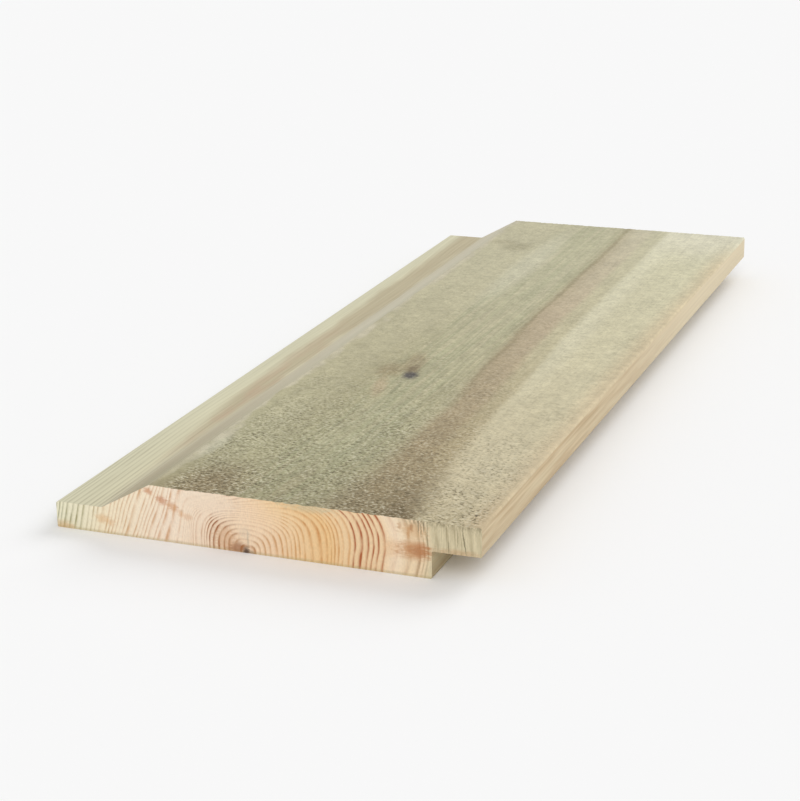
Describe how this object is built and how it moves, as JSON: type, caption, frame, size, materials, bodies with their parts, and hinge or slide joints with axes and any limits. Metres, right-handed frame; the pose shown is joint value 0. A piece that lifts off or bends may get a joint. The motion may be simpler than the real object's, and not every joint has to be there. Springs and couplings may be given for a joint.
{
  "type": "pressure-treated cladding board",
  "caption": "Softwood cladding board with a thin under lip and sloped shoulder along one edge and a rebated over lip along the other, so that boards lap side by side on a wall.",
  "frame": {"origin": "middle of the board's bounding box, on the plane of its back face", "axes": "+X across the board from the under lip to the over lip, +Y along the grain, +Z from the back face to the sawn face"},
  "size_m": [0.148, 0.384, 0.019],
  "materials": {
    "treated_pine": "matt, rough sawn on the face and planed on the back and edges"
  },
  "bodies": {
    "root": {"board": "treated_pine"}
  },
  "joints": []
}
